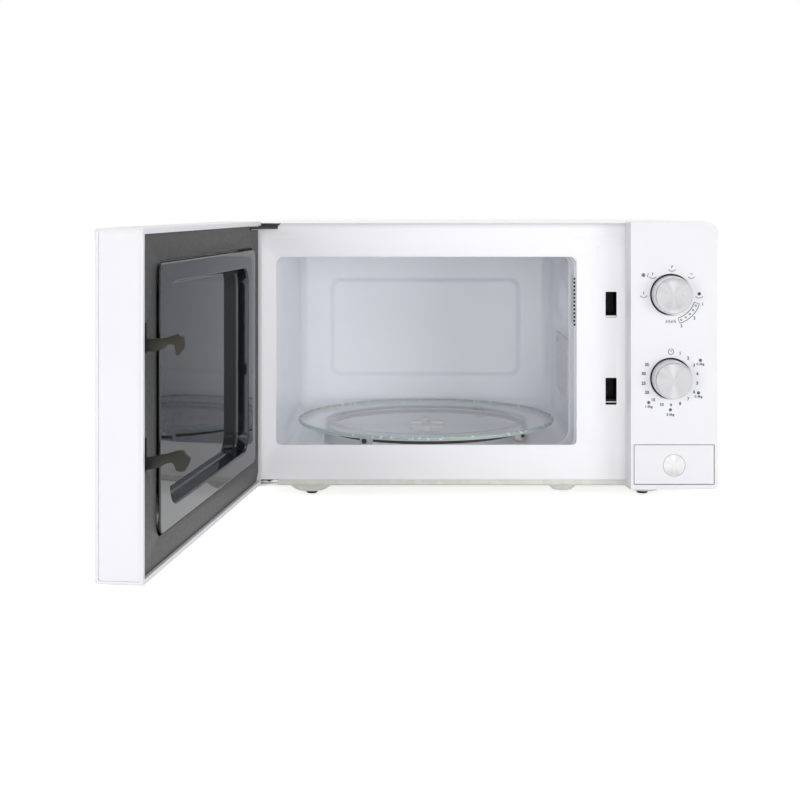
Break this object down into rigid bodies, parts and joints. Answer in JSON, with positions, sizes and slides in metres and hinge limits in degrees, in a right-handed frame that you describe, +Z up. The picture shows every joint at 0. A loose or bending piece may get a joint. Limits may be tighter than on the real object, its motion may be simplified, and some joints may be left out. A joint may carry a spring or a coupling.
{
  "type": "microwave oven",
  "caption": "Counter-top microwave oven with a grill, side-hinged door, two dials, a push button for the door, turntable and separate inner parts.",
  "frame": {"origin": "on the surface the feet stand on, below the middle of the whole object's box with the door stored open", "axes": "+X to the oven's right as seen from its front, +Y from the front to the back, +Z up"},
  "size_m": [0.5, 0.6742, 0.2634],
  "materials": {
    "white_enamel": "gloss white enamel on steel",
    "white_plastic": "satin moulded plastic",
    "cavity_enamel": "light grey cavity enamel",
    "pan_steel": "galvanised sheet",
    "zinc_steel": "zinc-plated sheet",
    "spring_steel": "spring wire",
    "dark_plastic": "dark moulded plastic",
    "choke_plastic": "fine-grained dark grey plastic",
    "gloss_dark": "glossy smoked plastic",
    "smoked_glass": "smoked glass",
    "plate_glass": "clear glass, green at the edge",
    "brushed_metal": "spun aluminium",
    "bell_metal": "plain",
    "rubber": "matt",
    "mica": "mica sheet",
    "ring_plastic": "dark brown heat-proof plastic",
    "roller_plastic": "heat-proof off-white plastic",
    "core_steel": "varnished laminations",
    "cast_aluminium": "plain",
    "can_aluminium": "aluminium can around film and oil, weighed as plastic",
    "circuit_board": "printed board with its parts",
    "ceramic": "ceramic",
    "lamp_glass": "frosted bulb",
    "quartz": "frosted quartz"
  },
  "bodies": {
    "oven": {"outer_cover": "white_enamel", "front_frame": "white_enamel", "rear_panel": "zinc_steel", "base_pan": "pan_steel", "cavity_liner": "cavity_enamel", "control_panel": "white_plastic", "timer_bell": "bell_metal", "timer_unit": "dark_plastic", "selector_switch": "dark_plastic", "latch_board": "dark_plastic", "cord_gland": "dark_plastic", "upper_interlock_switch": "dark_plastic", "lower_interlock_switch": "dark_plastic", "monitor_switch": "dark_plastic", "fan_duct": "dark_plastic", "thermal_cutout": "dark_plastic", "hv_diode": "dark_plastic", "lever_spring": "spring_steel", "foot_front_left": "rubber", "foot_front_right": "rubber", "foot_rear_left": "rubber", "foot_rear_right": "rubber", "magnetron": "cast_aluminium", "waveguide": "zinc_steel", "waveguide_cover": "mica", "transformer": "core_steel", "capacitor": "can_aluminium", "fan_motor": "core_steel", "cavity_lamp": "lamp_glass", "lamp_socket": "ceramic", "noise_filter_board": "circuit_board", "grill_heater": "quartz", "grill_reflector": "zinc_steel", "turntable_motor": "zinc_steel", "upper_hinge": "zinc_steel", "lower_hinge": "zinc_steel"},
    "door": {"door_frame": "white_plastic", "door_glass": "smoked_glass", "door_screen": "zinc_steel", "door_inner_panel": "gloss_dark", "choke_cover": "choke_plastic", "latch_spring": "spring_steel"},
    "latch": {"latch_hooks": "dark_plastic"},
    "button": {"release_button": "white_plastic", "button_badge": "brushed_metal"},
    "lever": {"release_lever": "dark_plastic"},
    "function_dial": {"function_knob": "white_plastic", "function_knob_cap": "brushed_metal", "function_shaft": "zinc_steel"},
    "timer_dial": {"timer_knob": "white_plastic", "timer_knob_cap": "brushed_metal", "timer_shaft": "zinc_steel"},
    "turntable": {"turntable_coupler": "roller_plastic", "glass_plate": "plate_glass"},
    "ring": {"roller_ring": "ring_plastic"},
    "roller_a": {"roller_1": "roller_plastic"},
    "roller_b": {"roller_2": "roller_plastic"},
    "roller_c": {"roller_3": "roller_plastic"},
    "roller_d": {"roller_4": "roller_plastic"},
    "fan": {"fan_blade": "dark_plastic"}
  },
  "joints": [
    {"name": "door_swing", "type": "hinge", "parent": "oven", "child": "door", "pos_m": [-0.18574, 0.01577, 0.14], "axis": [0, 0, 1], "range_deg": [0, 96.6]},
    {"name": "latch_lift", "type": "slide", "parent": "door", "child": "latch", "axis": [0, 0, 1], "range_m": [0, 0.004], "stiffness_N_per_m": 300, "springref_m": -0.004, "deforming": ["latch_spring"]},
    {"name": "button_press", "type": "slide", "parent": "oven", "child": "button", "axis": [0, 1, 0], "range_m": [0, 0.005], "stiffness_N_per_m": 400, "springref_m": -0.004},
    {"name": "lever_rise", "type": "slide", "parent": "oven", "child": "lever", "axis": [0, 0, 1], "range_m": [0, 0.004], "stiffness_N_per_m": 200, "deforming": ["lever_spring"]},
    {"name": "function_turn", "type": "hinge", "parent": "oven", "child": "function_dial", "pos_m": [0.20656, -0.00803, 0.1961], "axis": [0, 1, 0], "range_deg": [-90, 180]},
    {"name": "timer_turn", "type": "hinge", "parent": "oven", "child": "timer_dial", "pos_m": [0.20656, -0.00803, 0.1186], "axis": [0, 1, 0], "range_deg": [0, 300]},
    {"name": "turntable_spin", "type": "hinge", "parent": "oven", "child": "turntable", "pos_m": [-0.01919, 0.17277, 0.04], "axis": [0, 0, 1], "continuous": true},
    {"name": "ring_roll", "type": "hinge", "parent": "oven", "child": "ring", "pos_m": [-0.01919, 0.17277, 0.04], "axis": [0, 0, 1], "continuous": true},
    {"name": "roller_a_spin", "type": "hinge", "parent": "ring", "child": "roller_a", "pos_m": [-0.07801, 0.07864, 0.0468], "axis": [-0.5299, -0.848, 0], "continuous": true},
    {"name": "roller_b_spin", "type": "hinge", "parent": "ring", "child": "roller_b", "pos_m": [0.07494, 0.11395, 0.0468], "axis": [0.848, -0.5299, 0], "continuous": true},
    {"name": "roller_c_spin", "type": "hinge", "parent": "ring", "child": "roller_c", "pos_m": [0.03963, 0.26691, 0.0468], "axis": [0.5299, 0.848, 0], "continuous": true},
    {"name": "roller_d_spin", "type": "hinge", "parent": "ring", "child": "roller_d", "pos_m": [-0.11332, 0.23159, 0.0468], "axis": [-0.848, 0.5299, 0], "continuous": true},
    {"name": "fan_spin", "type": "hinge", "parent": "oven", "child": "fan", "pos_m": [0.19206, 0.30467, 0.15], "axis": [0, 1, 0], "continuous": true}
  ],
  "couplings": [
    {"joint": "lever_rise", "follows": "button_press", "ratio": 0.8},
    {"joint": "ring_roll", "follows": "turntable_spin", "ratio": 0.5},
    {"joint": "roller_a_spin", "follows": "turntable_spin", "ratio": -8.5385},
    {"joint": "roller_b_spin", "follows": "turntable_spin", "ratio": -8.5385},
    {"joint": "roller_c_spin", "follows": "turntable_spin", "ratio": -8.5385},
    {"joint": "roller_d_spin", "follows": "turntable_spin", "ratio": -8.5385}
  ]
}
